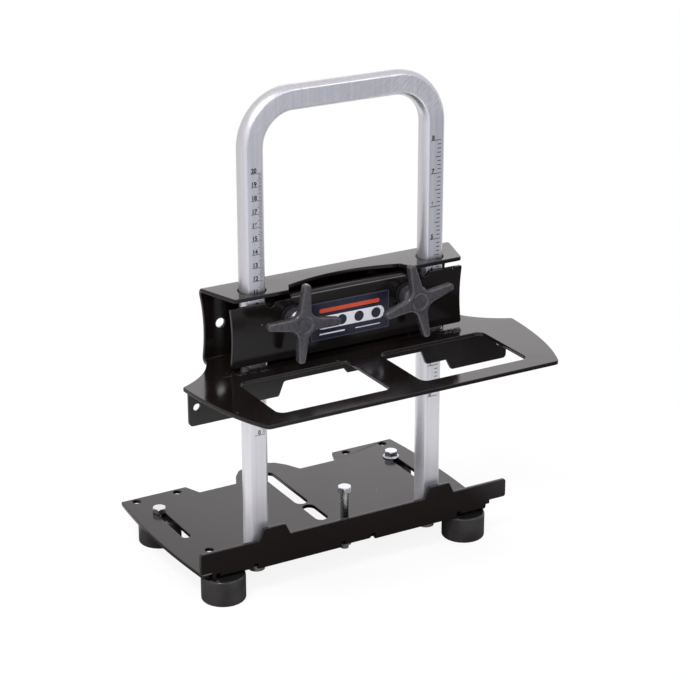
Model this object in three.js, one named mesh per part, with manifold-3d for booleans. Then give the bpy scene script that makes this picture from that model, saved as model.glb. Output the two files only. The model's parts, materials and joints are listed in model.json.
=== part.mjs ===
// Chainsaw mill. A slotted base plate on four feet carries an arched guide tube with two straight legs.
// A folded carriage rides on the legs, and a clamp plate with two star knobs locks it at a height.
// Millimetres: +X runs to the right along the plates, +Y away from the knobs, +Z up. The feet stand on
// z = 0, the legs stand on y = 0, and x = 0 is midway between them.

import * as THREE from "three";
import { mergeVertices } from "three/addons/utils/BufferGeometryUtils.js";
import Module from "manifold-3d";

const wasm = await Module();
wasm.setup();

// Clearances: the gap at faces that touch, the play of a bolt in its hole, and the overrun of a cutter.
const seat = 0.3;
const holePlay = 0.4;
const overrun = 1;

// Facet counts.
const roundFacets = 24;
const smallFacets = 16;
const facetAngle = Math.PI / 10;
const bowFacets = 10;
const bendSteps = 9;
const knobEdgeFacets = 2;
const footRimFacets = 2;
const hexSides = 6;

// Guide tube.
const legSpacing = 150.6;
const tubeRadius = 9.5;
const tubeFlat = 7.2;
const tubeWall = 2;
const archRadius = 33.5;
const archTop = 385.2;

// Feet, and the bolts that hold them.
const footRadius = 17;
const footHeight = 21;
const footRim = 1.6;
const footSole = 0.8;
const footReach = 31.2;
const frontFootY = -6;
const backFootMargin = 32.2;
const footBoltRadius = 3;
const footPocketRadius = 8;
const footPocketDepth = 9.5;
const footBoltEnd = 1.6;

// Hexagon heads, nuts and washers.
const hexAcross = 10;
const hexHeadHeight = 4.2;
const hexChamfer = 0.8;
const nutHeight = 5;
const boltFlangeRadius = 6.9;
const boltFlangeHeight = 1.4;
const washerRadius = 6.5;
const washerThickness = 1.2;

// Base plate in plan, and the flange along its front.
const sheet = 3;
const baseBendInner = 1;
const footMargin = 18.5;
const basePlateBulge = 4;
const basePlateBulgeY = 66;
const basePlateBackY = 137.2;
const basePlateCorner = 1.5;
const backLandHalf = 68;
const backValleyOuter = 62.5;
const backValleyInner = 29.6;
const backValleyDepth = 14.7;
const tongueShoulder = 23.5;
const tongueShoulderDrop = 11.5;
const tongueBend = 17;
const tongueBendDrop = 3.3;
const tongueTipHalf = 10;
const tongueReach = 9.3;
const flangeFrontY = -15;
const flangeLeftOverhang = 4;
const flangeRightOverhang = 15.4;
const flangeHeight = 23;
const flangeCorner = 2;
const bendSlit = 1.5;
const bridgeShares = [[0.059, 0.163], [0.457, 0.541], [0.844, 0.932]];
const reliefWidth = 3.4;
const reliefHeight = 5;
const leftEarLand = 2.5;
const leftEarRaise = 6.6;
const rightEarRaise = 8;
const tabHeight = 8.8;
const tabSlope = 4.2;
const tabShares = [[0.182, 0.28], [0.719, 0.819]];

// Holes and slots of the base plate.
const mountHoleRadius = 3.3;
const outerHoleX = 114;
const outerHoleMargin = 11;
const innerHoleMargin = 10.3;
const backHoleMargin = 5.7;
const frontHoleInset = 4.8;
const frontHoleY = 26.8;
const sideSlotFrontY = 54;
const sideSlotReach = 5;
const longSlotHalf = 5.2;
const longSlotFrontY = 62.4;
const longSlotMargin = 17.5;
const shortSlotHalf = 5;
const shortSlotFrontY = 29.1;
const shortSlotBackY = 59;

// Screws that hold the tube's legs.
const tubeScrewRadius = 4;
const tubeScrewHeadRadius = 6.5;
const tubeScrewHeadHeight = 5;
const tubeScrewReach = 18;
const tubeScrewSocket = 6;
const tubeScrewSocketDepth = 3;
const tubeWasherRadius = 8;
const tubeWasherThickness = 1.6;
const plugLength = 24;

// Stop bolt behind the middle of the flange.
const stopBoltX = 1.5;
const stopBoltRadius = 3.2;
const stopBoltTop = 64;
const stopBoltEnd = 12;

// Carriage: heights count from the top of its deck.
const deckTop = 181;
const channelHeight = 56.2;
const wallInnerY = 22;
const channelBendInner = 1.5;
const legHoleRadius = 10.5;
const topFrontY = -13;
const topFrontHalf = 95.4;
const topBackHalf = 105.5;
const topCorner = 2.5;
const recessHalf = 52;
const recessShoulder = 47;
const recessShoulderY = -3.5;
const recessMiddleY = 4.7;
const wallWaistHalf = 102.8;
const wallFootHalf = 104;
const wallHoleX = 90;
const wallHoleHeight = 26.5;
const wallHoleRadius = 3.7;
const deckFrontY = -108.2;
const deckFrontHalf = 119.8;
const deckBulgeHalf = 133.8;
const deckBulgeY = -68;
const deckTipHalf = 140.4;
const deckTipY = -17;
const deckFlareHalf = 117.8;
const deckFlareY = -1.7;
const deckCorner = 4;
const deckTipCorner = 2;
const windowInner = 13;
const windowOuter = 103.5;
const windowFrontY = -92.8;
const windowBackY = -29.5;
const windowCorner = 6;

// Guide skirt under the deck, from its middle outwards.
const skirtMiddleX = -2.5;
const skirtFrontY = -21.5;
const skirtHalf = 135.3;
const skirtDeep = 29.7;
const skirtStep = 21;
const skirtShallow = 10;
const skirtMiddle = 14;
const skirtMiddleHalf = 5.5;
const skirtMiddleSlope = 3;
const skirtShallowHalf = 58.5;
const skirtShallowSlope = 4.5;
const skirtStepHalf = 81;
const skirtStepSlope = 4.5;
const skirtStepCorner = 2;
const skirtCorner = 3;
const skirtHoleEdge = 6.3;
const skirtHoleDrop = 15.7;
const skirtHoleRadius = 2.8;

// Clamp plate, its lip and its label.
const studX = 48.5;
const studHeight = 34.2;
const studRadius = 4;
const studHeadRadius = 10;
const studHeadHeight = 4.4;
const studPoint = 0.8;
const studDomeShares = [[0.97, 0.25], [0.85, 0.55], [0.6, 0.82], [0.3, 0.96]];
const clampBottom = 2.6;
const clampHeight = 45.5;
const clampEndHalf = 98;
const clampWaistHalf = 96.4;
const clampTopCorner = 1.2;
const clampBottomCorner = 2;
const clampBendInner = 1;
const notchX = 65.3;
const notchRadius = 3.6;
const lipHalf = 48.8;
const lipRise = 2.3;
const lipBackY = -2.5;
const labelWidth = 67;
const labelHeight = 30;
const labelLift = 8.5;
const labelThickness = 0.4;
const labelCorner = 1.5;

// Star knobs.
const knobArms = 4;
const knobRadius = 29.9;
const knobTipHalf = 2.7;
const knobTipCorner = 2.2;
const knobWeb = 5;
const knobWebFillet = 8;
const knobArmThickness = 6;
const knobEdge = 1;
const knobHubLength = 12.5;
const knobHubBackRadius = 8.3;
const knobHubFrontRadius = 11;
const knobDishRadius = 6.5;
const knobDishDepth = 0.5;
const knobBoreRoom = 1;
const knobFrontWall = 3;
const knobTurns = { left: -5.3, right: 13.4 };
const insertRadius = 6;
const insertLength = 10;
const clampWasherRadius = 9.2;
const clampWasherThickness = 1.6;

// Places worked out from the sizes above.
const legX = legSpacing / 2;
const footX = legX + footReach;
const basePlateFrontHalf = footX + footMargin;
const basePlateBackHalf = outerHoleX + outerHoleMargin;
const basePlateWidestHalf = (basePlateFrontHalf + basePlateBackHalf) / 2 + basePlateBulge;
const innerHoleX = backLandHalf + innerHoleMargin;
const backFootY = basePlateBackY - backFootMargin;
const sideSlotBackY = backFootY + sideSlotReach;
const backHoleY = basePlateBackY - backHoleMargin;
const backValleyY = basePlateBackY - backValleyDepth;
const tongueTipY = basePlateBackY + tongueReach;
const tongueBendY = tongueTipY - tongueBendDrop;
const tongueShoulderY = tongueTipY - tongueShoulderDrop;
const longSlotBackY = tongueTipY - longSlotMargin;
const frontHoleX = footX - frontHoleInset;
const flangeLeftX = -basePlateFrontHalf - flangeLeftOverhang;
const flangeRightX = basePlateFrontHalf + flangeRightOverhang;
const baseBottom = footHeight;
const baseTop = baseBottom + sheet;
const flangeLength = flangeRightX - flangeLeftX;
const leftEarX = flangeX(bridgeShares[0][0]) - reliefWidth - leftEarLand;
const rightEarX = flangeX(bridgeShares.at(-1)[1]) + reliefWidth;
const flangeBackY = flangeFrontY + sheet;
const basePlateFrontY = flangeBackY + bendSlit;
const flangeTop = baseBottom + flangeHeight;
const skirtHoleX = skirtHalf - skirtHoleEdge;
const clampBackY = -tubeFlat - seat;
const clampFrontY = clampBackY - sheet;
const washerBackY = clampFrontY - seat;
const clampWasherFrontY = washerBackY - clampWasherThickness;
const knobBackY = clampWasherFrontY - seat;
const armBackY = knobBackY - knobHubLength;
const armFrontY = armBackY - knobArmThickness;
const boreEndY = armFrontY + knobFrontWall;
const studEndY = boreEndY + knobBoreRoom;
const wallOuterY = wallInnerY + sheet;
const bendStartY = wallInnerY - channelBendInner;
const channelTop = deckTop + channelHeight;
const middleX = (flangeRightX - deckTipHalf) / 2;
const middleY = (deckFrontY + tongueTipY) / 2;

// Materials.
const paint = { color: 0x1b1b1d, roughness: 0.35, metalness: 0.1 };
const blackPaint = new THREE.MeshStandardMaterial({ name: "black_paint", ...paint });
const aluminium = new THREE.MeshStandardMaterial({
  name: "aluminium",
  color: 0xb9bbc2,
  roughness: 0.4,
  metalness: 0.9,
});
const zinc = new THREE.MeshStandardMaterial({ name: "zinc", color: 0xc9cccf, roughness: 0.25, metalness: 1 });
const steel = new THREE.MeshStandardMaterial({ name: "steel", color: 0x8d9094, roughness: 0.4, metalness: 1 });
const rubber = new THREE.MeshStandardMaterial({ name: "rubber", color: 0x232325, roughness: 0.7, metalness: 0 });
const knobPlastic = new THREE.MeshStandardMaterial({
  name: "knob_plastic",
  color: 0x3c3b3e,
  roughness: 0.55,
  metalness: 0,
});
const brass = new THREE.MeshStandardMaterial({ name: "brass", color: 0xb08d45, roughness: 0.35, metalness: 1 });
const labelFilm = new THREE.MeshStandardMaterial({
  name: "label_film",
  color: 0x20233c,
  roughness: 0.35,
  metalness: 0,
});

// A closed three.js geometry as a solid that can be cut and joined.
function solid(geometry) {
  const bare = geometry.clone();
  bare.deleteAttribute("normal");
  bare.deleteAttribute("uv");
  const merged = mergeVertices(bare);
  const corners = merged.index.array;
  const triangles = [];
  for (let i = 0; i < corners.length; i += 3) {
    const [a, b, c] = [corners[i], corners[i + 1], corners[i + 2]];
    if (a !== b && b !== c && c !== a) triangles.push(a, b, c);
  }
  const vertProperties = new Float32Array(merged.attributes.position.array);
  const triVerts = new Uint32Array(triangles);
  return new wasm.Manifold(new wasm.Mesh({ numProp: 3, vertProperties, triVerts }));
}

// The points of a round corner or circle, from one angle to the other.
function arc(centreX, centreY, radius, from, to, clockwise = false) {
  const curve = new THREE.EllipseCurve(centreX, centreY, radius, radius, from, to, clockwise);
  const steps = Math.max(1, Math.ceil(curve.getLength() / (radius * facetAngle)));
  return curve.getPoints(steps);
}

// The points of an outline given by corners [x, y, radius]; the radius may be left out.
function outline(corners) {
  return corners.flatMap(([x, y, radius = 0], index) => {
    const here = new THREE.Vector2(x, y);
    if (radius === 0) return [here];
    const [beforeX, beforeY] = corners[(index + corners.length - 1) % corners.length];
    const [afterX, afterY] = corners[(index + 1) % corners.length];
    const back = new THREE.Vector2(beforeX - x, beforeY - y).normalize();
    const ahead = new THREE.Vector2(afterX - x, afterY - y).normalize();
    const half = Math.acos(back.dot(ahead)) / 2;
    const inward = back.clone().add(ahead).normalize();
    const centre = here.clone().addScaledVector(inward, radius / Math.sin(half));
    const start = here.clone().addScaledVector(back, radius / Math.tan(half)).sub(centre);
    const end = here.clone().addScaledVector(ahead, radius / Math.tan(half)).sub(centre);
    return arc(centre.x, centre.y, radius, start.angle(), end.angle(), back.cross(ahead) > 0);
  });
}

// A circle and a slot along the second axis, as holes of an outline.
function circle(x, y, radius) {
  return arc(x, y, radius, 0, 2 * Math.PI).slice(1);
}

function slot(x, half, from, to) {
  return [...arc(x, to - half, half, 0, Math.PI), ...arc(x, from + half, half, Math.PI, 2 * Math.PI)];
}

// The corners of a bowed edge, from its start up to but without its end. The edge passes its middle
// at the place given.
function bowed(start, middle, end) {
  const control = middle.map((value, axis) => 2 * value - (start[axis] + end[axis]) / 2);
  const curve = new THREE.QuadraticBezierCurve(
    new THREE.Vector2(...start),
    new THREE.Vector2(...control),
    new THREE.Vector2(...end),
  );
  return curve.getPoints(bowFacets).slice(0, bowFacets).map((point) => [point.x, point.y]);
}

// The corners of a right half, followed by their mirror image.
function mirrored(half) {
  const left = [...half].reverse();
  return [...half, ...left.map(([x, y, radius]) => [-x, y, radius])];
}

// The same shape on the left and on the right.
function both(make) {
  return [make(-1), make(1)];
}

// A prism that stands on the points of an outline.
function prism(points, bottom, height) {
  const geometry = new THREE.ExtrudeGeometry(new THREE.Shape(points), { depth: height, bevelEnabled: false });
  return geometry.translate(0, 0, bottom);
}

// A plate that lies flat: the outline is its plan, and the holes are cut through it.
function slab(corners, holes, bottom, thickness) {
  const cutters = holes.map((points) => solid(prism(points, bottom - overrun, thickness + 2 * overrun)));
  const plate = solid(prism(outline(corners), bottom, thickness));
  return cutters.reduce((body, cutter) => body.subtract(cutter), plate);
}

// A plate that stands on edge: the outline is its front view.
function panel(corners, holes, front, thickness) {
  return slab(corners, holes, -front - thickness, thickness).rotate([90, 0, 0]);
}

// A bend of the sheet between two plates: an angle with a round corner. Its outer corner lies at
// y and z, and its legs run the given reaches from there, to the side of their signs.
function bend(left, length, y, z, reachY, reachZ, inner) {
  const thickY = Math.sign(reachY) * sheet;
  const thickZ = Math.sign(reachZ) * sheet;
  const corners = [
    [y, z, inner + sheet],
    [y + reachY, z],
    [y + reachY, z + thickZ],
    [y + thickY, z + thickZ, inner],
    [y + thickY, z + reachZ],
    [y, z + reachZ],
  ];
  const section = prism(outline(corners), 0, length);
  const axes = new THREE.Matrix4().makeBasis(
    new THREE.Vector3(0, 1, 0),
    new THREE.Vector3(0, 0, 1),
    new THREE.Vector3(1, 0, 0),
  );
  return solid(section.applyMatrix4(axes).translate(left, 0, 0));
}

// A turned solid, from a profile of [radius, height] that runs up its outer side: along Z, and along Y.
function lathe(profile, facets) {
  const points = profile.map(([radius, height]) => new THREE.Vector2(radius, height));
  return new THREE.LatheGeometry(points, facets);
}

function turnedUp(profile, facets = smallFacets) {
  return solid(lathe(profile, facets).rotateX(Math.PI / 2));
}

function turnedBack(profile, facets = smallFacets) {
  return solid(lathe(profile, facets));
}

// Profiles of a rod and of a ring.
function rod(radius, start, end) {
  return [[0, start], [radius, start], [radius, end], [0, end]];
}

function ring(inner, outer, start, end) {
  return [[inner, start], [outer, start], [outer, end], [inner, end], [inner, start]];
}

// A line through given stations, so that a sweep has a section only where the tube needs one.
class StationLine extends THREE.Curve {
  constructor(points, directions) {
    super();
    this.points = points;
    this.directions = directions;
  }

  getPointAt(share, target = new THREE.Vector3()) {
    return target.copy(this.points[Math.round(share * (this.points.length - 1))]);
  }

  getTangentAt(share, target = new THREE.Vector3()) {
    return target.copy(this.directions[Math.round(share * (this.directions.length - 1))]);
  }
}

// The arch's centre line, from one leg's end over the two bends to the other.
function archLine(legEnd) {
  const points = [new THREE.Vector3(-legX, 0, legEnd)];
  const directions = [new THREE.Vector3(0, 0, 1)];
  [-1, 1].forEach((side) => {
    const firstAngle = side < 0 ? -Math.PI / 2 : 0;
    for (let step = 0; step <= bendSteps; step += 1) {
      const angle = firstAngle + (step / bendSteps) * (Math.PI / 2);
      const x = side * (legX - archRadius) + archRadius * Math.sin(angle);
      const z = archTop - tubeRadius - archRadius + archRadius * Math.cos(angle);
      points.push(new THREE.Vector3(x, 0, z));
      directions.push(new THREE.Vector3(Math.cos(angle), 0, -Math.sin(angle)));
    }
  });
  points.push(new THREE.Vector3(legX, 0, legEnd));
  directions.push(new THREE.Vector3(0, 0, -1));
  return new StationLine(points, directions);
}

// The tube's section, a circle with one flat; its first axis points to the front.
function tubeSection(radius, flat) {
  const edge = Math.acos(flat / radius);
  return new THREE.Shape(arc(0, 0, radius, edge, 2 * Math.PI - edge));
}

function tubeSweep(radius, flat, legEnd) {
  const extrudePath = archLine(legEnd);
  const steps = extrudePath.points.length - 1;
  return solid(new THREE.ExtrudeGeometry(tubeSection(radius, flat), { extrudePath, steps }));
}

function guideTube() {
  const outside = tubeSweep(tubeRadius, tubeFlat, baseTop + seat);
  return outside.subtract(tubeSweep(tubeRadius - tubeWall, tubeFlat - tubeWall, baseTop - overrun));
}

// A threaded plug in a leg's end.
function tubePlug() {
  const section = tubeSection(tubeRadius - tubeWall - seat, tubeFlat - tubeWall - seat);
  const geometry = new THREE.ExtrudeGeometry(section, { depth: plugLength, bevelEnabled: false });
  const body = solid(geometry.rotateZ(-Math.PI / 2).translate(0, 0, baseTop + seat));
  return body.subtract(turnedUp(rod(tubeScrewRadius + seat, baseBottom, baseTop + tubeScrewReach + seat)));
}

function tubeWasher() {
  const top = baseBottom - seat;
  return turnedUp(ring(tubeScrewRadius + seat, tubeWasherRadius, top - tubeWasherThickness, top));
}

// The screw that pulls a leg down on the base plate, with a hexagon socket.
function tubeScrew() {
  const headTop = baseBottom - seat - tubeWasherThickness - seat;
  const headBottom = headTop - tubeScrewHeadHeight;
  const head = turnedUp(rod(tubeScrewHeadRadius, headBottom, headTop));
  const shank = turnedUp(rod(tubeScrewRadius, headTop - overrun, baseTop + tubeScrewReach));
  const corner = tubeScrewSocket / 2 / Math.cos(Math.PI / hexSides);
  const socket = turnedUp(rod(corner, headBottom - overrun, headBottom + tubeScrewSocketDepth), hexSides);
  return head.add(shank).subtract(socket);
}

// A hexagon whose upper edges are turned off, with two flats parallel to the flange.
function hexagon(bottom, height) {
  const corner = hexAcross / 2 / Math.cos(Math.PI / hexSides);
  const prism = lathe(rod(corner, bottom, bottom + height), hexSides);
  const body = solid(prism.rotateX(Math.PI / 2).rotateZ(Math.PI / hexSides));
  const chamfer = turnedUp([
    [0, bottom - overrun],
    [corner + seat, bottom - overrun],
    [corner + seat, bottom + height - hexChamfer],
    [hexAcross / 2, bottom + height],
    [0, bottom + height],
  ]);
  return body.intersect(chamfer);
}

function nut(radius, bottom) {
  const bore = turnedUp(rod(radius + seat, bottom - overrun, bottom + nutHeight + overrun));
  return hexagon(bottom, nutHeight).subtract(bore);
}

// A hexagon bolt that points down, with or without a flange under its head.
function bolt(radius, headBottom, end, flangeRise = 0) {
  const shank = turnedUp(rod(radius, end, headBottom + hexHeadHeight / 2));
  const body = hexagon(headBottom + flangeRise / 2, hexHeadHeight + flangeRise / 2).add(shank);
  if (flangeRise === 0) return body;
  return body.add(turnedUp([
    [0, headBottom],
    [boltFlangeRadius, headBottom],
    [boltFlangeRadius, headBottom + flangeRise / 2],
    [hexAcross / 2, headBottom + flangeRise],
    [0, headBottom + flangeRise],
  ]));
}

// A foot, with a pocket below for its washer and nut.
function foot() {
  const top = footHeight - seat;
  const rimCurve = new THREE.EllipseCurve(
    footRadius - footRim, top - footRim, footRim, footRim, 0, Math.PI / 2);
  const rim = rimCurve.getPoints(footRimFacets).map(({ x, y }) => [x, y]);
  return turnedUp([
    [footPocketRadius, 0],
    [footRadius - footSole, 0],
    [footRadius, footSole],
    ...rim,
    [footBoltRadius + holePlay, top],
    [footBoltRadius + holePlay, footPocketDepth],
    [footPocketRadius, footPocketDepth],
    [footPocketRadius, 0],
  ], roundFacets);
}

function footWasher() {
  const top = footPocketDepth - seat;
  return turnedUp(ring(footBoltRadius + seat, washerRadius, top - washerThickness, top));
}

function footNut() {
  return nut(footBoltRadius, footPocketDepth - seat - washerThickness - seat - nutHeight);
}

// The base plate: the plan of its flat part.
function basePlan() {
  const side = bowed(
    [basePlateFrontHalf, basePlateFrontY],
    [basePlateWidestHalf, basePlateBulgeY],
    [basePlateBackHalf, basePlateBackY],
  );
  return mirrored([
    ...side,
    [basePlateBackHalf, basePlateBackY, basePlateCorner],
    [backLandHalf, basePlateBackY, basePlateCorner],
    [backValleyOuter, backValleyY, basePlateCorner],
    [backValleyInner, backValleyY, basePlateCorner],
    [tongueShoulder, tongueShoulderY],
    [tongueBend, tongueBendY],
    [tongueTipHalf, tongueTipY],
  ]);
}

function baseHoles() {
  return [
    ...both((side) => circle(side * outerHoleX, backHoleY, mountHoleRadius)),
    ...both((side) => circle(side * innerHoleX, backHoleY, mountHoleRadius)),
    ...both((side) => circle(side * frontHoleX, frontHoleY, mountHoleRadius)),
    ...both((side) => circle(side * footX, frontFootY, footBoltRadius + holePlay)),
    ...both((side) => circle(side * legX, 0, tubeScrewRadius + holePlay)),
    ...both((side) => slot(side * footX, footBoltRadius + holePlay, sideSlotFrontY, sideSlotBackY)),
    slot(0, longSlotHalf, longSlotFrontY, longSlotBackY),
    slot(0, shortSlotHalf, shortSlotFrontY, shortSlotBackY),
    circle(stopBoltX, 0, stopBoltRadius + holePlay),
  ];
}

// A place along the flange, from its left end.
function flangeX(share) {
  return flangeLeftX + share * flangeLength;
}

// The front view of the flange, anticlockwise from the left end of its lower edge. The last relief
// opens into the right ear.
function flangeFace() {
  const gaps = bridgeShares.flatMap(([from, to]) => [
    [flangeX(from) - reliefWidth, baseBottom],
    [flangeX(from) - reliefWidth, baseBottom + reliefHeight],
    [flangeX(to) + reliefWidth, baseBottom + reliefHeight],
    [flangeX(to) + reliefWidth, baseBottom],
  ]).slice(0, -1);
  const tabs = [...tabShares].reverse().flatMap(([from, to]) => [
    [flangeX(to), flangeTop],
    [flangeX(to) - tabSlope, flangeTop + tabHeight, flangeCorner],
    [flangeX(from) + tabSlope, flangeTop + tabHeight, flangeCorner],
    [flangeX(from), flangeTop],
  ]);
  return [
    [leftEarX, baseBottom, flangeCorner],
    ...gaps,
    [rightEarX, baseBottom + rightEarRaise],
    [flangeRightX, baseBottom + rightEarRaise, flangeCorner],
    [flangeRightX, flangeTop, flangeCorner],
    ...tabs,
    [flangeLeftX, flangeTop, flangeCorner],
    [flangeLeftX, baseBottom + leftEarRaise, flangeCorner],
    [leftEarX, baseBottom + leftEarRaise],
  ];
}

function basePlate() {
  const plate = slab(basePlan(), baseHoles(), baseBottom, sheet);
  const flange = panel(flangeFace(), [], flangeFrontY, sheet);
  return bridgeShares.reduce((body, [from, to]) => {
    const length = flangeX(to) - flangeX(from);
    const reachY = basePlateFrontY + overrun - flangeFrontY;
    const reachZ = reliefHeight + overrun;
    return body.add(bend(flangeX(from), length, flangeFrontY, baseBottom, reachY, reachZ, baseBendInner));
  }, plate.add(flange));
}

// The carriage: plan of its top flange, front view of its back wall and plan of its deck. Each ends
// where a bend starts, and a short straight part laps the bend.
function topPlan() {
  const recess = bowed(
    [recessShoulder, recessShoulderY],
    [0, recessMiddleY],
    [-recessShoulder, recessShoulderY],
  );
  const rightSide = [
    [recessHalf, topFrontY],
    [topFrontHalf, topFrontY, topCorner],
    [topBackHalf, bendStartY - overrun],
    [topBackHalf, bendStartY],
  ];
  const [first, ...rest] = recess;
  return [...mirrored(rightSide), [-recessShoulder, recessShoulderY], ...rest.reverse(), first];
}

function wallFace() {
  const [foot, top] = [deckTop + channelBendInner, channelTop - sheet - channelBendInner];
  const middle = (foot + top) / 2;
  const side = bowed([wallFootHalf, foot + overrun], [wallWaistHalf, middle], [topBackHalf, top - overrun]);
  return mirrored([[wallFootHalf, foot], ...side, [topBackHalf, top - overrun], [topBackHalf, top]]);
}

function deckPlan() {
  const front = bowed([deckFrontHalf, deckFrontY], [deckBulgeHalf, deckBulgeY], [deckTipHalf, deckTipY]);
  const [corner, ...rest] = front;
  const flare = bowed(
    [deckTipHalf, deckTipY],
    [deckFlareHalf, deckFlareY],
    [wallFootHalf, bendStartY - overrun],
  );
  const [tip, ...hollow] = flare;
  return mirrored([
    [...corner, deckCorner],
    ...rest,
    [...tip, deckTipCorner],
    ...hollow,
    [wallFootHalf, bendStartY - overrun],
    [wallFootHalf, bendStartY],
  ]);
}

function deckWindow(side) {
  return outline([
    [side * windowInner, windowFrontY, windowCorner],
    [side * windowOuter, windowFrontY, windowCorner],
    [side * windowOuter, windowBackY, windowCorner],
    [side * windowInner, windowBackY, windowCorner],
  ]);
}

function carriageChannel() {
  const legHoles = both((side) => circle(side * legX, 0, legHoleRadius));
  const wallHoles = [
    ...both((side) => circle(side * wallHoleX, deckTop + wallHoleHeight, wallHoleRadius)),
    ...both((side) => circle(side * studX, deckTop + studHeight, studRadius + holePlay)),
  ];
  const deckHoles = [...legHoles, ...both(deckWindow)];
  const top = slab(topPlan(), legHoles, channelTop - sheet, sheet);
  const wall = panel(wallFace(), wallHoles, wallInnerY, sheet);
  const deck = slab(deckPlan(), deckHoles, deckTop - sheet, sheet);
  const reach = sheet + channelBendInner + overrun;
  const upper = bend(-topBackHalf, 2 * topBackHalf, wallOuterY, channelTop, -reach, -reach, channelBendInner);
  const lowerZ = deckTop - sheet;
  const lower = bend(-wallFootHalf, 2 * wallFootHalf, wallOuterY, lowerZ, -reach, reach, channelBendInner);
  return top.add(wall).add(deck).add(upper).add(lower);
}

// The guide skirt, from the middle of its stepped lower edge outwards.
function guideSkirt() {
  const top = deckTop - sheet - seat;
  const face = mirrored([
    [skirtMiddleHalf, deckTop - skirtMiddle],
    [skirtMiddleHalf + skirtMiddleSlope, deckTop - skirtShallow],
    [skirtShallowHalf, deckTop - skirtShallow, skirtStepCorner],
    [skirtShallowHalf + skirtShallowSlope, deckTop - skirtStep, skirtStepCorner],
    [skirtStepHalf, deckTop - skirtStep, skirtStepCorner],
    [skirtStepHalf + skirtStepSlope, deckTop - skirtDeep, skirtStepCorner],
    [skirtHalf, deckTop - skirtDeep, skirtCorner],
    [skirtHalf, top],
  ]);
  const holes = both((side) => circle(side * skirtHoleX, deckTop - skirtHoleDrop, skirtHoleRadius));
  return panel(face, holes, skirtFrontY, sheet);
}

// The clamp plate, with a reading notch over each leg's inner side and a lip bent back over its middle.
function clampPlate() {
  const bottom = deckTop + clampBottom;
  const top = bottom + clampHeight;
  const end = bowed([clampEndHalf, bottom], [clampWaistHalf, bottom + clampHeight / 2], [clampEndHalf, top]);
  const [corner, ...rest] = end;
  const lipTop = top + lipRise;
  const lipStart = lipTop - sheet - clampBendInner;
  const notch = arc(notchX, top, notchRadius, 0, Math.PI, true).map(({ x, y }) => [x, y]);
  const face = mirrored([
    [...corner, clampBottomCorner],
    ...rest,
    [clampEndHalf, top, clampTopCorner],
    ...notch,
    [lipHalf, top],
    [lipHalf, lipStart],
  ]);
  const holes = both((side) => circle(side * studX, deckTop + studHeight, studRadius + holePlay));
  const plate = panel(face, holes, clampFrontY, sheet);
  const lipReach = lipBackY - clampFrontY;
  return plate.add(bend(-lipHalf, 2 * lipHalf, clampFrontY, lipTop, lipReach, -lipReach, clampBendInner));
}

function labelPlate() {
  const bottom = deckTop + clampBottom + labelLift;
  const face = mirrored([
    [labelWidth / 2, bottom, labelCorner],
    [labelWidth / 2, bottom + labelHeight, labelCorner],
  ]);
  return panel(face, [], clampFrontY - seat - labelThickness, labelThickness);
}

// A carriage bolt whose domed head rests behind the back wall.
function clampStud() {
  const headStart = wallOuterY + seat;
  return turnedBack([
    [0, studEndY],
    [studRadius - studPoint, studEndY],
    [studRadius, studEndY + studPoint],
    [studRadius, headStart],
    [studHeadRadius, headStart],
    ...studDomeShares.map(([across, up]) => [across * studHeadRadius, headStart + up * studHeadHeight]),
    [0, headStart + studHeadHeight],
  ], roundFacets);
}

function clampWasher() {
  return turnedBack(ring(studRadius + seat, clampWasherRadius, clampWasherFrontY, washerBackY), roundFacets);
}

// The threaded bush in a knob's back.
function knobInsert() {
  return turnedBack(ring(studRadius + seat, insertRadius, knobBackY - insertLength, knobBackY));
}

// A star knob about the origin's Y axis: four arms with rounded edges on a tapered hub.
function knob(turn) {
  const corners = Array.from({ length: knobArms }, (_, arm) => {
    const angle = (arm * 2 * Math.PI) / knobArms + THREE.MathUtils.degToRad(turn);
    const place = (x, y, radius) => {
      const point = new THREE.Vector2(x, y).rotateAround(new THREE.Vector2(), angle);
      return [point.x, point.y, radius];
    };
    return [
      place(knobRadius, -knobTipHalf, knobTipCorner),
      place(knobRadius, knobTipHalf, knobTipCorner),
      place(knobWeb, knobWeb, knobWebFillet),
    ];
  }).flat();
  const star = new THREE.ExtrudeGeometry(new THREE.Shape(outline(corners)), {
    depth: knobArmThickness - 2 * knobEdge,
    bevelThickness: knobEdge,
    bevelSize: knobEdge,
    bevelOffset: -knobEdge,
    bevelSegments: knobEdgeFacets,
  });
  const arms = solid(star.rotateX(Math.PI / 2).translate(0, armBackY - knobEdge, 0));
  const hub = turnedBack([
    [0, armFrontY + knobFrontWall / 2],
    [knobHubFrontRadius - knobEdge, armBackY - knobEdge],
    [knobHubFrontRadius, armBackY],
    [knobHubBackRadius, knobBackY - knobEdge],
    [knobHubBackRadius - knobEdge, knobBackY],
    [0, knobBackY],
  ], roundFacets);
  const dish = turnedBack(rod(knobDishRadius, armFrontY - overrun, armFrontY + knobDishDepth), roundFacets);
  const pocket = turnedBack(rod(insertRadius + seat, knobBackY - insertLength - seat, knobBackY + overrun));
  const bore = turnedBack(rod(studRadius + holePlay, boreEndY, knobBackY + overrun));
  return arms.add(hub).subtract(dish).subtract(pocket).subtract(bore);
}

// The whole mill: a stand, the carriage that rides on it, and the clamp. The model's origin lies on the
// ground below the middle of its bounding box.
const model = new THREE.Group();
model.name = "chainsaw_mill";
const [stand, carriage, clamp] = ["stand", "carriage", "clamp"].map((name) => {
  const group = new THREE.Group();
  group.name = name;
  group.position.set(-middleX, -middleY, 0);
  model.add(group);
  return group;
});

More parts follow.
